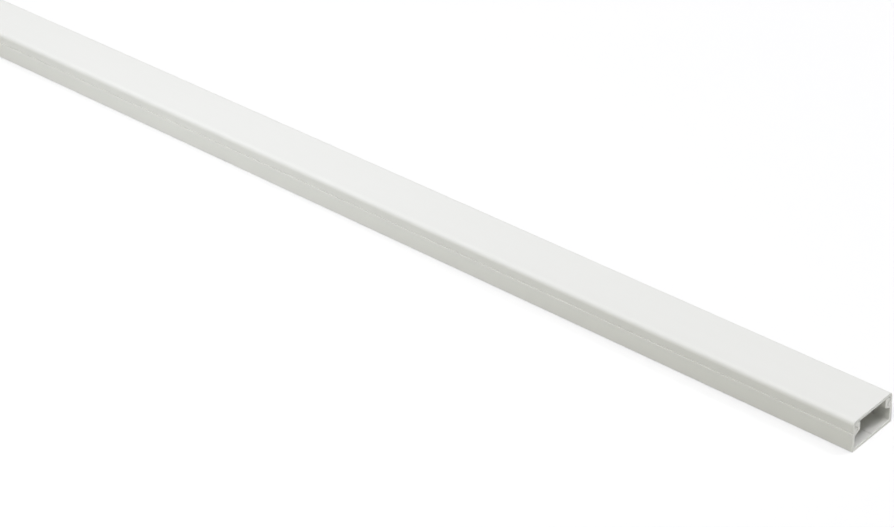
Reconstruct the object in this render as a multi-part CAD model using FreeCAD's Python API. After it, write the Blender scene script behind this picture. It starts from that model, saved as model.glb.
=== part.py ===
import FreeCAD, Part
import math
import os

# Cord cover raceway: a base channel that lies against the wall, and a cover that snaps over it.
# Both pieces are straight lengths of one constant section, as extruded plastic trunking is.
# X runs along the length, Y across the width and Z out from the wall.
# The origin is the centre of the flat underside. All sizes are in millimetres.

# Overall size
LENGTH = 762.0
WIDTH = 20.0
HEIGHT = 11.0

# Walls
FLOOR_THICKNESS = 1.1
BASE_WALL = 1.1
NECK_THICKNESS = 1.25
COVER_PLATE = 1.2
COVER_LEG = 1.15

# The snap: a hook on each cover leg sits under a barb on each neck of the base
HOOK_REACH = 0.95
HOOK_HEIGHT = 1.3
BARB_HEIGHT = 1.4
SNAP_CLEARANCE = 0.2
LEAD_IN = 0.35
SEAM_GAP = 0.05

# The web that carries each neck on its wall, under the shoulder
WEB_DROP = 1.2

# The shallow line down the middle of the floor, where a screw or nail would go
GROOVE_WIDTH = 0.7
GROOVE_DEPTH = 0.35

# The cover's legs lean in a little towards their feet, which leaves a fine ledge of the base in sight
COVER_DRAFT = 0.32

# Rounded edges
COVER_TOP_ROUND = 1.5
COVER_FOOT_ROUND = 0.1
COVER_INNER_ROUND = 0.4
BASE_BOTTOM_ROUND = 0.5
SHOULDER_ROUND = 0.15
NECK_ROUND = 0.35
TIP_ROUND = 0.12
INNER_ROUND = 0.5

# A round never takes more than this share of the straight run beside it
LARGEST_ROUND_SHARE = 0.45

# Heights that follow from the sizes above, counted from the underside
plate_underside = HEIGHT - COVER_PLATE
neck_top = plate_underside - SNAP_CLEARANCE
barb_underside = neck_top - BARB_HEIGHT
hook_top = barb_underside - SNAP_CLEARANCE
leg_foot = hook_top - HOOK_HEIGHT
shoulder = leg_foot - SEAM_GAP
web_foot = shoulder - WEB_DROP

# Distances from the middle of the section that follow from the sizes above
half_width = WIDTH / 2
leg_inner = half_width - COVER_LEG
hook_tip = leg_inner - HOOK_REACH
barb_tip = leg_inner - SNAP_CLEARANCE
neck_outer = hook_tip - SNAP_CLEARANCE
neck_inner = neck_outer - NECK_THICKNESS
wall_inner = half_width - BASE_WALL


def unit_towards(start, end):
    """Return the unit vector from one point to another."""
    direction = end.sub(start)
    direction.normalize()
    return direction


def rounded_corner(before, corner, after, radius):
    """Return the start, middle and end of the arc that rounds one corner, or None where it stays sharp."""
    to_before = unit_towards(corner, before)
    to_after = unit_towards(corner, after)
    half_angle = to_before.getAngle(to_after) / 2
    shorter_run = min(corner.distanceToPoint(before), corner.distanceToPoint(after))
    setback = min(radius / math.tan(half_angle), LARGEST_ROUND_SHARE * shorter_run)
    fitted_radius = setback * math.tan(half_angle)
    if fitted_radius <= 0:
        return None
    bisector = to_before + to_after
    bisector.normalize()
    middle_distance = fitted_radius / math.sin(half_angle) - fitted_radius
    return corner + to_before * setback, corner + bisector * middle_distance, corner + to_after * setback


def section_face(half_outline):
    """Return the face of a section that is mirrored about the XZ plane.

    half_outline lists the corners on the +Y side in order, each as (y, z, radius).
    A corner on the plane itself, with y of 0, is used once.
    """
    other_half = [(-y, z, radius) for y, z, radius in reversed(half_outline) if y > 0]
    corners = half_outline + other_half
    points = [FreeCAD.Vector(-LENGTH / 2, y, z) for y, z, radius in corners]
    edges = []
    first_point = None
    last_point = None
    for index, (y, z, radius) in enumerate(corners):
        after = points[(index + 1) % len(points)]
        arc = rounded_corner(points[index - 1], points[index], after, radius)
        arc_start = arc[0] if arc else points[index]
        if last_point is None:
            first_point = arc_start
        else:
            edges.append(Part.makeLine(last_point, arc_start))
        if arc:
            edges.append(Part.Arc(*arc).toShape())
        last_point = arc[2] if arc else points[index]
    edges.append(Part.makeLine(last_point, first_point))
    return Part.Face(Part.Wire(edges))


def length_of(half_outline):
    """Return one full length of the section, as extruded and sawn square."""
    return section_face(half_outline).extrude(FreeCAD.Vector(LENGTH, 0, 0))


def base_channel():
    """Return the channel with a neck on each wall, set in from it by a shoulder, and a barb on each neck."""
    return length_of([
        (half_width, 0, BASE_BOTTOM_ROUND),
        (half_width, shoulder, SHOULDER_ROUND),
        (neck_outer, shoulder, TIP_ROUND),
        (neck_outer, barb_underside, TIP_ROUND),
        (barb_tip, barb_underside, TIP_ROUND),
        (barb_tip, neck_top - LEAD_IN, TIP_ROUND),
        (barb_tip - LEAD_IN, neck_top, TIP_ROUND),
        (neck_inner, neck_top, NECK_ROUND),
        (neck_inner, shoulder, INNER_ROUND),
        (wall_inner, web_foot, INNER_ROUND),
        (wall_inner, FLOOR_THICKNESS, INNER_ROUND),
        (GROOVE_WIDTH / 2, FLOOR_THICKNESS, 0),
        (0, FLOOR_THICKNESS - GROOVE_DEPTH, 0),
    ])


def snap_cover():
    """Return the flat cover with a leg on each side and a hook along the foot of each leg."""
    return length_of([
        (half_width, HEIGHT, COVER_TOP_ROUND),
        (half_width - COVER_DRAFT, leg_foot, COVER_FOOT_ROUND),
        (hook_tip + LEAD_IN, leg_foot, TIP_ROUND),
        (hook_tip, leg_foot + LEAD_IN, TIP_ROUND),
        (hook_tip, hook_top, TIP_ROUND),
        (leg_inner, hook_top, TIP_ROUND),
        (leg_inner, plate_underside, COVER_INNER_ROUND),
    ])


def main():
    """Write each piece to its own file."""
    os.makedirs("parts", exist_ok=True)
    pieces = {"base_channel": base_channel(), "snap_cover": snap_cover()}
    for name, shape in pieces.items():
        shape.exportStep("parts/" + name + ".step")
        box = shape.BoundBox
        print(name, "valid", shape.isValid(), "volume", round(shape.Volume, 1), "mm3", box)


main()
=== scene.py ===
"""Looks of a cord cover raceway: its two extruded plastic pieces, their finishes and a plain studio."""

import logging
import math
from dataclasses import dataclass
from enum import Enum

import bpy
from mathutils import Matrix, Vector


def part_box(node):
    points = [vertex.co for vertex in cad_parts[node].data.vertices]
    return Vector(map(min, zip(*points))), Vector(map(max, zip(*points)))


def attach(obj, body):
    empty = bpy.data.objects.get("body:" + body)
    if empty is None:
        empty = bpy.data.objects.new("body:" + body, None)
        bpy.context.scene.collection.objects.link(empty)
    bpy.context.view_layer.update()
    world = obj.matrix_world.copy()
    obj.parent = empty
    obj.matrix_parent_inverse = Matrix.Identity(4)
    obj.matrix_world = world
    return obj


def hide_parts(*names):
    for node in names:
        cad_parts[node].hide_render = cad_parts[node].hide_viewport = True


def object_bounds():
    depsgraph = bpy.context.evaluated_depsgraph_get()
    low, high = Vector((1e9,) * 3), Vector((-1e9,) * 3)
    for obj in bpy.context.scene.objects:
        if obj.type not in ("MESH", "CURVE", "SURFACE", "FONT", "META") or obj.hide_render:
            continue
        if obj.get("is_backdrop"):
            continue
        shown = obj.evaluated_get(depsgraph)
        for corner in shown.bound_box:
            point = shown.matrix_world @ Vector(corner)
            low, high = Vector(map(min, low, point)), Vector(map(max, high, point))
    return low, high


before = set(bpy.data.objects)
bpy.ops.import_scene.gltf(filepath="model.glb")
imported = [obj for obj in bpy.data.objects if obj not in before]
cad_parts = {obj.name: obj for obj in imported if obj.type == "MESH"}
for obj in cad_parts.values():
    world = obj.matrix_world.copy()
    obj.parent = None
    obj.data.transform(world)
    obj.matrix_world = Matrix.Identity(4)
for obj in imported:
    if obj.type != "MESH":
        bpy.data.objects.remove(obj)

LOG = logging.getLogger("raceway")
IMAGE_WIDTH_PX = 894

# Metres in a millimetre
MM = 0.001

# Linear red, green and blue
Colour = tuple[float, float, float]

# Numbers along X, Y and Z
Triple = tuple[float, float, float]

WHITE: Colour = (1.0, 1.0, 1.0)
BLACK: Colour = (0.0, 0.0, 0.0)
UPWARDS = Vector((0.0, 0.0, 1.0))
PLASTIC_IOR = 1.5

# The middle of a noise's values, about which a roughness varies
NOISE_MIDDLE = 0.5


class Node(Enum):
    """The CAD nodes that the pieces stand for."""

    BASE = "base_channel"
    COVER = "snap_cover"


class Body(Enum):
    """The CAD bodies that the pieces ride on."""

    BASE = "base"
    COVER = "cover"


class Slot(Enum):
    """The record's material slots."""

    BASE = "base_pvc"
    COVER = "cover_pvc"


@dataclass(frozen=True)
class Pattern:
    """A smooth noise: its features per metre along X, Y and Z, and how many finer layers it has."""

    scale: Triple
    detail: float


class Signal:
    """A node's output that works in Python expressions, each of which adds its Math nodes."""

    def __init__(self, maker: "NodeMaker", socket: "bpy.types.NodeSocket | None") -> None:
        """Wrap an output socket.

        Args:
            maker: The maker that adds nodes to the socket's tree.
            socket: The output to wrap, or None for a node that has none.
        """
        self.maker = maker
        self.socket = socket

    def _maths(self, operation: str, first: "Signal | float", second: "Signal | float") -> "Signal":
        """Return the output of a new Math node with these two inputs."""
        inputs = {"Value": first, "Value_001": second}
        return self.maker.node("ShaderNodeMath", {"operation": operation}, inputs)

    def __add__(self, other: "Signal | float") -> "Signal":
        """Return this plus other."""
        return self._maths("ADD", self, other)

    def __radd__(self, other: float) -> "Signal":
        """Return other plus this."""
        return self._maths("ADD", other, self)

    def __sub__(self, other: "Signal | float") -> "Signal":
        """Return this less other."""
        return self._maths("SUBTRACT", self, other)

    def __rsub__(self, other: float) -> "Signal":
        """Return other less this."""
        return self._maths("SUBTRACT", other, self)

    def __mul__(self, other: "Signal | float") -> "Signal":
        """Return this times other."""
        return self._maths("MULTIPLY", self, other)

    def __rmul__(self, other: float) -> "Signal":
        """Return other times this."""
        return self._maths("MULTIPLY", other, self)

    def __gt__(self, other: "Signal | float") -> "Signal":
        """Return 1 where this is above other, and 0 elsewhere."""
        return self._maths("GREATER_THAN", self, other)

    def __abs__(self) -> "Signal":
        """Return this without its sign."""
        return self._maths("ABSOLUTE", self, 0.0)


class NodeMaker:
    """Adds nodes to one tree, and hands back their outputs."""

    # The outputs of a Mix node share one name, and this one is its colour
    MIXED_COLOUR = 2

    def __init__(self, tree: bpy.types.NodeTree) -> None:
        """Start on a tree.

        Args:
            tree: The shader or geometry tree that gets the nodes.
        """
        self.tree = tree

    @classmethod
    def on_empty_tree(cls, owner: "bpy.types.Material | bpy.types.World") -> "NodeMaker":
        """Start on the emptied shader tree of a new material or world.

        Args:
            owner: The material or world.

        Returns:
            A maker for its tree.
        """
        owner.use_nodes = True
        owner.node_tree.nodes.clear()
        return cls(owner.node_tree)

    def node(self, kind: str, settings: dict | None = None, inputs: dict | None = None,
             output: int | str = 0) -> Signal:
        """Add one node, set it up and wire it.

        Args:
            kind: The node's type name.
            settings: Attribute names and values, which are set first.
            inputs: Socket identifiers, each with a value or a Signal.
            output: The output to hand back, by number or name.

        Returns:
            The node's chosen output.
        """
        made = self.tree.nodes.new(kind)
        for name, value in (settings or {}).items():
            setattr(made, name, value)
        sockets = {socket.identifier: socket for socket in made.inputs}
        for name, value in (inputs or {}).items():
            if isinstance(value, Signal):
                self.tree.links.new(value.socket, sockets[name])
            else:
                sockets[name].default_value = value
        return Signal(self, made.outputs[output] if made.outputs else None)

    def mixed(self, factor: "Signal | float", first: Colour, second: Colour) -> Signal:
        """Blend two colours.

        Args:
            factor: 0 for the first colour, 1 for the second.
            first: Linear colour at factor 0.
            second: Linear colour at factor 1.

        Returns:
            The blended colour.
        """
        inputs = {"Factor_Float": factor, "A_Color": (*first, 1.0), "B_Color": (*second, 1.0)}
        return self.node("ShaderNodeMix", {"data_type": "RGBA"}, inputs, output=self.MIXED_COLOUR)

    def noise(self, place: Signal, pattern: Pattern) -> Signal:
        """Return a smooth noise from 0 to 1.

        Args:
            place: The coordinates that the noise reads.
            pattern: How coarse and how layered it is.

        Returns:
            The noise's value.
        """
        stretched = self.node("ShaderNodeMapping", {}, {"Vector": place, "Scale": pattern.scale})
        inputs = {"Vector": stretched, "Scale": 1.0, "Detail": pattern.detail}
        return self.node("ShaderNodeTexNoise", {}, inputs)

    def plastic_surface(self, tint: Signal, roughness: Signal, relief: Signal) -> None:
        """End a material's tree in a plastic surface.

        Args:
            tint: Its colour.
            roughness: Its roughness.
            relief: Its bumped normal.
        """
        surface = {"Base Color": tint, "Roughness": roughness, "Normal": relief, "IOR": PLASTIC_IOR}
        shader = self.node("ShaderNodeBsdfPrincipled", {}, surface)
        self.node("ShaderNodeOutputMaterial", {}, {"Surface": shader})


@dataclass(frozen=True)
class ExtrudedSkin:
    """White rigid plastic as the die leaves it: satin, with faint lines along its length."""

    name: str
    colour: Colour
    shade: Colour
    lines: Pattern = Pattern((2.5, 2600.0, 2600.0), detail=2.0)
    streaks: Pattern = Pattern((1.6, 320.0, 320.0), detail=2.0)
    clouds: Pattern = Pattern((18.0, 60.0, 60.0), detail=3.0)
    grain: Pattern = Pattern((2400.0, 2400.0, 2400.0), detail=1.0)
    streak_share: float = 0.55
    line_share: float = 0.6
    roughness: float = 0.42
    roughness_spread: float = 0.16
    line_depth: float = 0.010 * MM
    grain_depth: float = 0.003 * MM

    def material(self) -> bpy.types.Material:
        """Return the finish as a Blender material."""
        made = bpy.data.materials.new(self.name)
        maker = NodeMaker.on_empty_tree(made)
        place = maker.node("ShaderNodeTexCoord", output="Object")
        lines = maker.noise(place, self.lines)
        streaks = maker.noise(place, self.streaks)
        clouds = maker.noise(place, self.clouds)
        grain = maker.noise(place, self.grain)
        paleness = self.streak_share * streaks + (1.0 - self.streak_share) * clouds
        tint = maker.mixed(paleness, self.shade, self.colour)
        dullness = self.line_share * lines + (1.0 - self.line_share) * clouds
        roughness = self.roughness + self.roughness_spread * (dullness - NOISE_MIDDLE)
        fine = maker.node("ShaderNodeBump", {}, {"Height": grain, "Distance": self.grain_depth})
        drawn = {"Height": lines, "Distance": self.line_depth, "Normal": fine}
        maker.plastic_surface(tint, roughness, maker.node("ShaderNodeBump", {}, drawn))
        return made


@dataclass(frozen=True)
class SawnFace:
    """The plastic's cut end: duller than the skin, with the saw's marks across it. Its colour is paler
    than the skin's, partly as the cut's own whiteness and partly as painted light that brightens the end
    faces.
    """

    name: str
    colour: Colour
    shade: Colour
    marks: Pattern = Pattern((400.0, 5200.0, 900.0), detail=2.0)
    fuzz: Pattern = Pattern((3000.0, 3000.0, 3000.0), detail=2.0)
    mark_share: float = 0.7
    mark_lean: float = math.radians(24)
    mark_depth: float = 0.035 * MM
    roughness: float = 0.62
    roughness_spread: float = 0.12

    def material(self) -> bpy.types.Material:
        """Return the finish as a Blender material."""
        made = bpy.data.materials.new(self.name)
        maker = NodeMaker.on_empty_tree(made)
        place = maker.node("ShaderNodeTexCoord", output="Object")
        leaning = {"Vector": place, "Rotation": (self.mark_lean, 0.0, 0.0)}
        marks = maker.noise(maker.node("ShaderNodeMapping", {}, leaning), self.marks)
        fuzz = maker.noise(place, self.fuzz)
        height = self.mark_share * marks + (1.0 - self.mark_share) * fuzz
        tint = maker.mixed(height, self.shade, self.colour)
        roughness = self.roughness + self.roughness_spread * (fuzz - NOISE_MIDDLE)
        relief = maker.node("ShaderNodeBump", {}, {"Height": height, "Distance": self.mark_depth})
        maker.plastic_surface(tint, roughness, relief)
        return made


@dataclass(frozen=True)
class Corner:
    """One corner of a section, seen along the length."""

    y: float
    z: float
    radius: float = 0.0

    def place(self) -> Vector:
        """Return the corner's place in the section."""
        return Vector((self.y, self.z))


@dataclass(frozen=True)
class SnapSizes:
    """Sizes of the section that the two pieces share, in metres."""

    length: float
    width: float
    height: float
    floor: float = 1.1 * MM
    wall: float = 1.1 * MM
    neck: float = 1.25 * MM
    plate: float = 1.2 * MM
    leg: float = 1.15 * MM
    hook_reach: float = 0.95 * MM
    hook_height: float = 1.3 * MM
    barb_height: float = 1.4 * MM
    clearance: float = 0.2 * MM
    lead_in: float = 0.35 * MM
    seam_gap: float = 0.05 * MM
    web_drop: float = 1.2 * MM

    @classmethod
    def from_frame(cls) -> "SnapSizes":
        """Return the sizes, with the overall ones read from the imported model."""
        low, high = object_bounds()
        return cls(length=high.x - low.x, width=high.y - low.y, height=high.z - low.z)

    @property
    def half(self) -> float:
        """Half of the width."""
        return self.width / 2

    @property
    def plate_underside(self) -> float:
        """Height of the cover plate's inner face."""
        return self.height - self.plate

    @property
    def neck_top(self) -> float:
        """Height of the top of the necks."""
        return self.plate_underside - self.clearance

    @property
    def barb_underside(self) -> float:
        """Height of the face of the barbs that holds the hooks."""
        return self.neck_top - self.barb_height

    @property
    def hook_top(self) -> float:
        """Height of the face of the hooks that the barbs hold."""
        return self.barb_underside - self.clearance

    @property
    def leg_foot(self) -> float:
        """Height of the foot of the cover's legs."""
        return self.hook_top - self.hook_height

    @property
    def shoulder(self) -> float:
        """Height of the shoulder on each wall of the base."""
        return self.leg_foot - self.seam_gap

    @property
    def leg_inner(self) -> float:
        """Distance of the legs' inner face from the middle."""
        return self.half - self.leg

    @property
    def hook_tip(self) -> float:
        """Distance of the hooks' tips from the middle."""
        return self.leg_inner - self.hook_reach

    @property
    def barb_tip(self) -> float:
        """Distance of the barbs' tips from the middle."""
        return self.leg_inner - self.clearance

    @property
    def neck_outer(self) -> float:
        """Distance of the necks' outer face from the middle."""
        return self.hook_tip - self.clearance

    @property
    def neck_inner(self) -> float:
        """Distance of the necks' inner face from the middle."""
        return self.neck_outer - self.neck

    @property
    def wall_inner(self) -> float:
        """Distance of the walls' inner face from the middle."""
        return self.half - self.wall


def linked(name: str, data: bpy.types.ID) -> bpy.types.Object:
    """Put an object of some data into the scene.

    Args:
        name: The object's name.
        data: Its mesh, light or camera.

    Returns:
        The object, at the origin.
    """
    made = bpy.data.objects.new(name, data)
    bpy.context.scene.collection.objects.link(made)
    return made


class ExtrusionTree:
    """Geometry Nodes that round a section's corners, run it along X and saw its ends."""

    SOCKETS = (
        ("Length", "NodeSocketFloat"),
        ("Cut Chamfer", "NodeSocketFloat"),
        ("Round Steps", "NodeSocketInt"),
        ("Stations", "NodeSocketInt"),
        ("Skin", "NodeSocketMaterial"),
        ("Cut", "NodeSocketMaterial"),
    )
    RADIUS_ATTRIBUTE = "corner_radius"
    SMOOTH_BELOW = math.radians(34)

    # A face whose normal has more than this along X is part of a sawn end
    END_FACING = 0.5

    def __init__(self) -> None:
        """Build the tree."""
        self.tree = bpy.data.node_groups.new("extruded_length", "GeometryNodeTree")
        face = self.tree.interface
        face.new_socket("Geometry", in_out="INPUT", socket_type="NodeSocketGeometry")
        for name, kind in self.SOCKETS:
            face.new_socket(name, in_out="INPUT", socket_type=kind)
        face.new_socket("Geometry", in_out="OUTPUT", socket_type="NodeSocketGeometry")
        self.maker = NodeMaker(self.tree)
        group = self.tree.nodes.new("NodeGroupInput")
        self.given = {socket.name: Signal(self.maker, socket) for socket in group.outputs if socket.name}
        self.maker.node("NodeGroupOutput", {}, {self._output_identifier(): self._finished()})

    def _output_identifier(self) -> str:
        """Return the identifier of the tree's output geometry."""
        items = self.tree.interface.items_tree
        return next(item.identifier for item in items if item.in_out == "OUTPUT")

    def _profile(self) -> Signal:
        """Return the section as a closed curve with its corners rounded."""
        maker = self.maker
        curve = maker.node("GeometryNodeMeshToCurve", {}, {"Mesh": self.given["Geometry"]})
        named = {"Name": self.RADIUS_ATTRIBUTE}
        radius = maker.node("GeometryNodeInputNamedAttribute", {"data_type": "FLOAT"}, named)
        rounding = {"Curve": curve, "Radius": radius, "Count": self.given["Round Steps"]}
        return maker.node("GeometryNodeFilletCurve", {"mode": "POLY"}, rounding)

    def _path(self) -> Signal:
        """Return the line along X, with a station one chamfer in from each end and even ones between."""
        maker = self.maker
        line = maker.node("GeometryNodeCurvePrimitiveLine", {"mode": "POINTS"}, {"End": (1.0, 0.0, 0.0)})
        spacing = {"Curve": line, "Count": self.given["Stations"]}
        spaced = maker.node("GeometryNodeResampleCurve", {"mode": "COUNT"}, spacing)
        half = 0.5 * self.given["Length"]
        inner = half - self.given["Cut Chamfer"]
        stations = {
            "Value": maker.node("GeometryNodeInputIndex"),
            "From Min": 1.0,
            "From Max": self.given["Stations"] - 2.0,
            "To Min": 0.0 - inner,
            "To Max": inner,
        }
        even = maker.node("ShaderNodeMapRange", {"clamp": False}, stations)
        along = maker.node("ShaderNodeClamp", {}, {"Value": even, "Min": 0.0 - half, "Max": half})
        place = maker.node("ShaderNodeCombineXYZ", {}, {"X": along})
        return maker.node("GeometryNodeSetPosition", {}, {"Geometry": spaced, "Position": place})

    def _chamfered(self, swept: Signal) -> Signal:
        """Return the swept length with the rim of each sawn end drawn in by the chamfer."""
        maker = self.maker
        chamfer = self.given["Cut Chamfer"]
        position = maker.node("GeometryNodeInputPosition")
        along = maker.node("ShaderNodeSeparateXYZ", {}, {"Vector": position})
        at_rim = abs(along) > 0.5 * self.given["Length"] - 0.5 * chamfer
        sideways = {"Vector": maker.node("GeometryNodeInputNormal"), "Vector_001": (0.0, 1.0, 1.0)}
        across = maker.node("ShaderNodeVectorMath", {"operation": "MULTIPLY"}, sideways)
        outward = maker.node("ShaderNodeVectorMath", {"operation": "NORMALIZE"}, {"Vector": across})
        shrunk = {"Vector": outward, "Scale": 0.0 - chamfer}
        inward = maker.node("ShaderNodeVectorMath", {"operation": "SCALE"}, shrunk)
        moved = {"Geometry": swept, "Selection": at_rim, "Offset": inward}
        return maker.node("GeometryNodeSetPosition", {}, moved)

    def _finished(self) -> Signal:
        """Return the whole length with its skin and sawn ends."""
        maker = self.maker
        extrusion = {"Curve": self._path(), "Profile Curve": self._profile(), "Fill Caps": True}
        shaped = self._chamfered(maker.node("GeometryNodeCurveToMesh", {}, extrusion))
        smooth = maker.node("GeometryNodeSetShadeSmooth", {"domain": "FACE"}, {"Geometry": shaped})
        sharp = maker.node("GeometryNodeInputMeshEdgeAngle") > self.SMOOTH_BELOW
        creases = {"Geometry": smooth, "Selection": sharp, "Shade Smooth": False}
        creased = maker.node("GeometryNodeSetShadeSmooth", {"domain": "EDGE"}, creases)
        real = maker.node("GeometryNodeRealizeInstances", {}, {"Geometry": creased})
        all_over = {"Geometry": real, "Material": self.given["Skin"]}
        skinned = maker.node("GeometryNodeSetMaterial", {}, all_over)
        normal = maker.node("GeometryNodeInputNormal")
        facing = maker.node("ShaderNodeSeparateXYZ", {}, {"Vector": normal})
        at_end = abs(facing) > self.END_FACING
        at_ends_only = {"Geometry": skinned, "Selection": at_end, "Material": self.given["Cut"]}
        return maker.node("GeometryNodeSetMaterial", {}, at_ends_only)

    def run(self, drawn: bpy.types.Object, values: dict[str, object]) -> bpy.types.Mesh:
        """Run the tree on a section.

        Args:
            drawn: The section's outline, as an object in the scene.
            values: The tree's inputs, by name.

        Returns:
            The finished length as a plain mesh.
        """
        modifier = drawn.modifiers.new("extruded_length", "NODES")
        modifier.node_group = self.tree
        for item in self.tree.interface.items_tree:
            if item.in_out == "INPUT" and item.name in values:
                modifier[item.identifier] = values[item.name]
        graph = bpy.context.evaluated_depsgraph_get()
        plain = bpy.data.meshes.new_from_object(drawn.evaluated_get(graph), depsgraph=graph)
        drawn.modifiers.remove(modifier)
        return plain


@dataclass
class ExtrudedLength:
    """One straight extruded piece, from a section that is mirrored about its middle."""

    sizes: SnapSizes
    tree: ExtrusionTree
    skin: ExtrudedSkin
    cut: bpy.types.Material
    node: Node
    body: Body
    slot: Slot
    round_steps: int = 7
    station_spacing: float = 12 * MM
    cut_chamfer: float = 0.06 * MM
    support_distance: float = 0.05 * MM

    def half_section(self) -> list[Corner]:
        """Return the corners on the +Y side, in order round the section."""
        raise NotImplementedError

    def _ring(self) -> list[Corner]:
        """Return the corners of both sides, all the way round in the order that the tree needs."""
        half = self.half_section()
        off_middle = [corner for corner in half if corner.y > 0]
        ring = half + [Corner(-corner.y, corner.z, corner.radius) for corner in reversed(off_middle)]
        following = [*ring[1:], ring[0]]
        doubled_area = sum(here.y * after.z - after.y * here.z for here, after in zip(ring, following))
        return ring[::-1] if doubled_area > 0 else ring

    def _outline(self) -> list[Corner]:
        """Return every corner, with a support point just outside each end of each round."""
        ring = self._ring()
        points: list[Corner] = []
        for before, here, after in zip([ring[-1], *ring[:-1]], ring, [*ring[1:], ring[0]]):
            if here.radius == 0:
                points.append(here)
                continue
            back = (before.place() - here.place()).normalized()
            ahead = (after.place() - here.place()).normalized()
            setback = here.radius / math.tan(back.angle(ahead) / 2) + self.support_distance
            start = here.place() + back * setback
            end = here.place() + ahead * setback
            points += [Corner(start.x, start.y), here, Corner(end.x, end.y)]
        return points

    def _drawn(self) -> bpy.types.Object:
        """Return the outline as a closed ring of edges, with each corner's radius on its point."""
        outline = self._outline()
        count = len(outline)
        edges = [(index, (index + 1) % count) for index in range(count)]
        mesh = bpy.data.meshes.new(self.node.value + "_section")
        mesh.from_pydata([(corner.y, -corner.z, 0.0) for corner in outline], edges, [])
        radii = mesh.attributes.new(ExtrusionTree.RADIUS_ATTRIBUTE, "FLOAT", "POINT")
        radii.data.foreach_set("value", [corner.radius for corner in outline])
        return linked(self.node.value + "_drawn", mesh)

    def build(self) -> bpy.types.Object:
        """Make the piece as a plain mesh in the row frame.

        Returns:
            The finished object, with both finishes on it.
        """
        drawn = self._drawn()
        plain = self.tree.run(drawn, {
            "Length": self.sizes.length,
            "Cut Chamfer": self.cut_chamfer,
            "Round Steps": self.round_steps,
            "Stations": round(self.sizes.length / self.station_spacing),
            "Skin": self.skin.material(),
            "Cut": self.cut,
        })
        bpy.data.objects.remove(drawn)
        return linked(self.node.value + "_look", plain)

    def dress(self, piece: bpy.types.Object) -> None:
        """Seat the piece on its body, in place of its CAD node.

        Args:
            piece: The object that build() made.
        """
        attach(piece, self.body.value)
        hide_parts(self.node.value)


@dataclass
class BaseChannel(ExtrudedLength):
    """The channel that lies on the wall, with a barbed neck set in on each side."""

    bottom_round: float = 0.5 * MM
    shoulder_round: float = 0.15 * MM
    neck_round: float = 0.35 * MM
    tip_round: float = 0.12 * MM
    inner_round: float = 0.5 * MM
    groove_width: float = 0.7 * MM
    groove_depth: float = 0.35 * MM

    def half_section(self) -> list[Corner]:
        """Return the corners on the +Y side, from the outer bottom edge to the groove in the floor."""
        size = self.sizes
        return [
            Corner(size.half, 0.0, self.bottom_round),
            Corner(size.half, size.shoulder, self.shoulder_round),
            Corner(size.neck_outer, size.shoulder, self.tip_round),
            Corner(size.neck_outer, size.barb_underside, self.tip_round),
            Corner(size.barb_tip, size.barb_underside, self.tip_round),
            Corner(size.barb_tip, size.neck_top - size.lead_in, self.tip_round),
            Corner(size.barb_tip - size.lead_in, size.neck_top, self.tip_round),
            Corner(size.neck_inner, size.neck_top, self.neck_round),
            Corner(size.neck_inner, size.shoulder, self.inner_round),
            Corner(size.wall_inner, size.shoulder - size.web_drop, self.inner_round),
            Corner(size.wall_inner, size.floor, self.inner_round),
            Corner(self.groove_width / 2, size.floor),
            Corner(0.0, size.floor - self.groove_depth),
        ]


@dataclass
class SnapCover(ExtrudedLength):
    """The flat cover, with a leg on each side and a hook along the foot of each leg."""

    draft: float = 0.32 * MM
    top_round: float = 1.5 * MM
    foot_round: float = 0.1 * MM
    inner_round: float = 0.4 * MM
    tip_round: float = 0.12 * MM

    def half_section(self) -> list[Corner]:
        """Return the corners on the +Y side, from the outer top edge to the plate's underside."""
        size = self.sizes
        return [
            Corner(size.half, size.height, self.top_round),
            Corner(size.half - self.draft, size.leg_foot, self.foot_round),
            Corner(size.hook_tip + size.lead_in, size.leg_foot, self.tip_round),
            Corner(size.hook_tip, size.leg_foot + size.lead_in, self.tip_round),
            Corner(size.hook_tip, size.hook_top, self.tip_round),
            Corner(size.leg_inner, size.hook_top, self.tip_round),
            Corner(size.leg_inner, size.plate_underside, self.inner_round),
        ]


@dataclass(frozen=True)
class Viewpoint:
    """The camera, placed from the near bottom corner of the raceway's open end.

    height, ahead and aside are in widths of the raceway: how far the camera is above the corner,
    and how far the corner lies ahead of it and to its right.
    """

    sizes: SnapSizes
    focal_px: float = 2441.0
    pitch: float = math.radians(32.974)
    roll: float = math.radians(-3.286)
    heading: float = math.radians(45.432)
    height: float = 21.897
    ahead: float = 28.089
    aside: float = 5.719

    def place(self) -> None:
        """Make the camera and give it to the scene."""
        sine, cosine = math.sin(self.heading), math.cos(self.heading)
        level_right = Vector((sine, cosine, 0.0))
        level_ahead = Vector((-cosine, sine, 0.0))
        to_corner = self.aside * level_right + self.ahead * level_ahead - self.height * UPWARDS
        corner = Vector((self.sizes.length / 2, -self.sizes.half, 0.0))
        forward = math.cos(self.pitch) * level_ahead - math.sin(self.pitch) * UPWARDS
        level_up = level_right.cross(forward)
        right = math.cos(self.roll) * level_right + math.sin(self.roll) * level_up
        up = right.cross(forward)
        data = bpy.data.cameras.new("camera")
        data.lens = data.sensor_width * self.focal_px / IMAGE_WIDTH_PX
        camera = linked("camera", data)
        camera.matrix_world = Matrix((right, up, -forward)).transposed().to_4x4()
        camera.location = corner - self.sizes.width * to_corner
        bpy.context.scene.camera = camera


def hung(data: bpy.types.Light, away: Vector) -> bpy.types.Object:
    """Put a light into the scene, turned to shine from one side.

    Args:
        data: The light.
        away: The direction from what it lights towards the light.

    Returns:
        The lamp, still at the origin.
    """
    lamp = linked(data.name, data)
    lamp.rotation_euler = away.to_track_quat("Z", "Y").to_euler()
    return lamp


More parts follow.
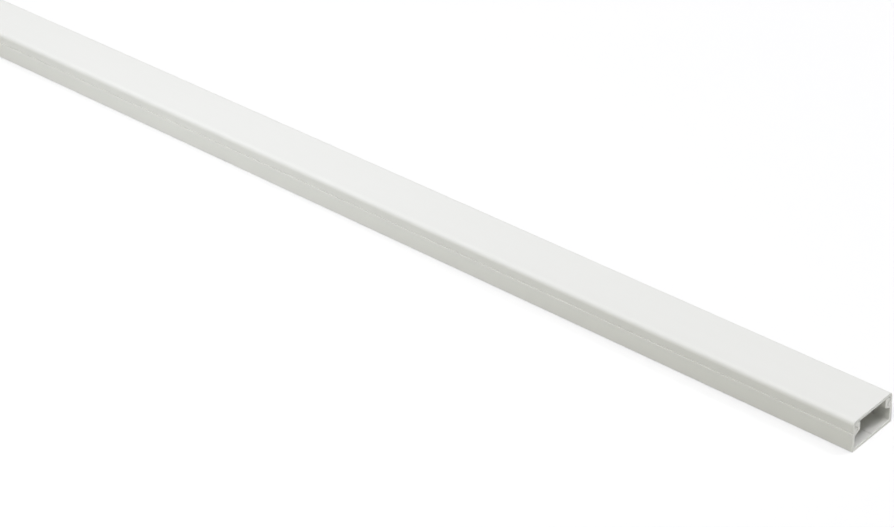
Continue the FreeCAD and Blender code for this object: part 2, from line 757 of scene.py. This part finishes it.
@dataclass(frozen=True)
class Softbox:
    """A broad light far off, which lights the whole length alike.

    azimuth is the side that the light comes from, counted from +X towards +Y, and spread is how wide
    it looks from the raceway. A strength of 1 renders a white surface that faces the light as white.
    """

    name: str
    azimuth: float
    elevation: float
    spread: float
    strength: float
    tint: Colour

    def place(self) -> None:
        """Add the light."""
        data = bpy.data.lights.new(self.name, "SUN")
        data.energy = self.strength * math.pi
        data.color = self.tint
        data.angle = self.spread
        level = math.cos(self.elevation)
        x, y = level * math.cos(self.azimuth), level * math.sin(self.azimuth)
        hung(data, Vector((x, y, math.sin(self.elevation))))


@dataclass(frozen=True)
class Panel:
    """A square light beside the length, which fades towards the open end. Its power is in watts."""

    name: str
    location: Triple
    target: Triple
    side: float
    power: float
    tint: Colour

    def place(self) -> None:
        """Add the light, facing its target."""
        data = bpy.data.lights.new(self.name, "AREA")
        data.energy = self.power
        data.color = self.tint
        data.size = self.side
        lamp = hung(data, Vector(self.location) - Vector(self.target))
        lamp.location = self.location


@dataclass(frozen=True)
class Rectangle:
    """A level rectangle, seen from above."""

    low_x: float
    low_y: float
    high_x: float
    high_y: float

    def corners(self, height: float) -> list[Vector]:
        """Return its corners anticlockwise, at a height."""
        low_side = [(self.low_x, self.low_y), (self.high_x, self.low_y)]
        high_side = [(self.high_x, self.high_y), (self.low_x, self.high_y)]
        return [Vector((x, y, height)) for x, y in low_side + high_side]


@dataclass(frozen=True)
class Studio:
    """A floor that looks white, soft lights and an even surround."""

    lights: tuple[Softbox | Panel, ...]
    surround: float = 0.12
    surround_tint: Colour = (0.985, 0.995, 1.0)
    floor_colour: Colour = (0.58, 0.575, 0.515)
    floor_half: float = 60.0
    floor_drop: float = 0.02 * MM
    slot_inset: float = 1.0 * MM

    @staticmethod
    def _seen_directly(maker: NodeMaker) -> Signal:
        """Return 1 for the rays that show a background: from the camera, a gloss or a clear piece."""
        kinds = ("Is Camera Ray", "Is Glossy Ray", "Is Transmission Ray")
        camera, gloss, clear = [maker.node("ShaderNodeLightPath", output=kind) for kind in kinds]
        return camera + gloss + clear

    def light(self) -> None:
        """Add the lights, and a surround that looks white from the camera."""
        world = bpy.data.worlds.new("surround")
        maker = NodeMaker.on_empty_tree(world)
        seen = self._seen_directly(maker)
        dim = tuple(self.surround * part for part in self.surround_tint)
        glow = maker.node("ShaderNodeBackground", {}, {"Color": maker.mixed(seen, dim, WHITE)})
        maker.node("ShaderNodeOutputWorld", {}, {"Surface": glow})
        bpy.context.scene.world = world
        for light in self.lights:
            light.place()

    def _paper(self) -> bpy.types.Material:
        """Return the floor's finish, topped up to white where it is seen directly."""
        made = bpy.data.materials.new("floor_paper")
        maker = NodeMaker.on_empty_tree(made)
        paper = maker.node("ShaderNodeBsdfDiffuse", {}, {"Color": (*self.floor_colour, 1.0)})
        missing = tuple(1.0 - part for part in self.floor_colour)
        top_up = maker.mixed(self._seen_directly(maker), BLACK, missing)
        glow = maker.node("ShaderNodeEmission", {}, {"Color": top_up})
        both = maker.node("ShaderNodeAddShader", {}, {"Shader": paper, "Shader_001": glow})
        maker.node("ShaderNodeOutputMaterial", {}, {"Surface": both})
        return made

    def floor(self) -> None:
        """Lay the floor, with a slot under the base through which its underside shows from below."""
        half, inset = self.floor_half, self.slot_inset
        low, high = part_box(Node.BASE.value)
        slot = Rectangle(low.x + inset, low.y + inset, high.x - inset, high.y - inset)
        outer = Rectangle(-half, -half, half, half).corners(-self.floor_drop)
        inner = slot.corners(-self.floor_drop)
        count = len(outer)
        turns = [(here, (here + 1) % count) for here in range(count)]
        strips = [(here, after, count + after, count + here) for here, after in turns]
        mesh = bpy.data.meshes.new("floor")
        mesh.from_pydata(outer + inner, [], strips)
        mesh.materials.append(self._paper())
        linked("floor", mesh)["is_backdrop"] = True


OVERHEAD = Softbox(
    "overhead",
    azimuth=math.radians(10),
    elevation=math.radians(82),
    spread=math.radians(46),
    strength=0.415,
    tint=(0.985, 0.985, 1.025),
)
FRONT = Softbox(
    "front",
    azimuth=math.radians(-82),
    elevation=math.radians(53),
    spread=math.radians(26),
    strength=0.33,
    tint=(1.0, 0.995, 0.94),
)
OPEN_END = Softbox(
    "open_end",
    azimuth=math.radians(58),
    elevation=math.radians(60),
    spread=math.radians(10),
    strength=0.19,
    tint=(0.99, 0.985, 1.045),
)
END_FILL = Softbox(
    "end_fill",
    azimuth=math.radians(15),
    elevation=math.radians(12),
    spread=math.radians(40),
    strength=0.11,
    tint=(1.0, 1.0, 0.98),
)
SIDE_PANEL = Panel(
    "side_panel",
    location=(0.08, -0.24, 0.13),
    target=(0.13, -0.01, 0.005),
    side=0.12,
    power=0.15,
    tint=(0.94, 0.975, 1.09),
)
LIGHTS = (OVERHEAD, FRONT, OPEN_END, END_FILL, SIDE_PANEL)
BASE_SKIN = ExtrudedSkin("base_skin", colour=(0.815, 0.817, 0.788), shade=(0.785, 0.787, 0.755))
COVER_SKIN = ExtrudedSkin("cover_skin", colour=(0.820, 0.822, 0.794), shade=(0.792, 0.794, 0.764))
# The sawn end's colour is set paler than the skins', partly as the cut's own whiteness and partly as
# painted light that brightens the end faces
SAWN_WITH_PAINTED_LIGHT = SawnFace("sawn_end_with_painted_light", colour=(0.970, 0.970, 0.957), shade=(0.855, 0.856, 0.836))


def main() -> None:
    """Build the raceway and its studio."""
    logging.basicConfig(level=logging.INFO)
    bpy.context.scene.view_settings.view_transform = "Standard"
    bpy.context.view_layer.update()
    sizes = SnapSizes.from_frame()
    tree = ExtrusionTree()
    cut = SAWN_WITH_PAINTED_LIGHT.material()
    pieces: list[ExtrudedLength] = [
        BaseChannel(sizes, tree, BASE_SKIN, cut, Node.BASE, Body.BASE, Slot.BASE),
        SnapCover(sizes, tree, COVER_SKIN, cut, Node.COVER, Body.COVER, Slot.COVER),
    ]
    for piece in pieces:
        made = piece.build()
        piece.dress(made)
        LOG.info("%s: %d faces", made.name, len(made.data.polygons))
    Viewpoint(sizes).place()
    studio = Studio(LIGHTS)
    studio.light()
    studio.floor()


if __name__ == "__main__":
    main()
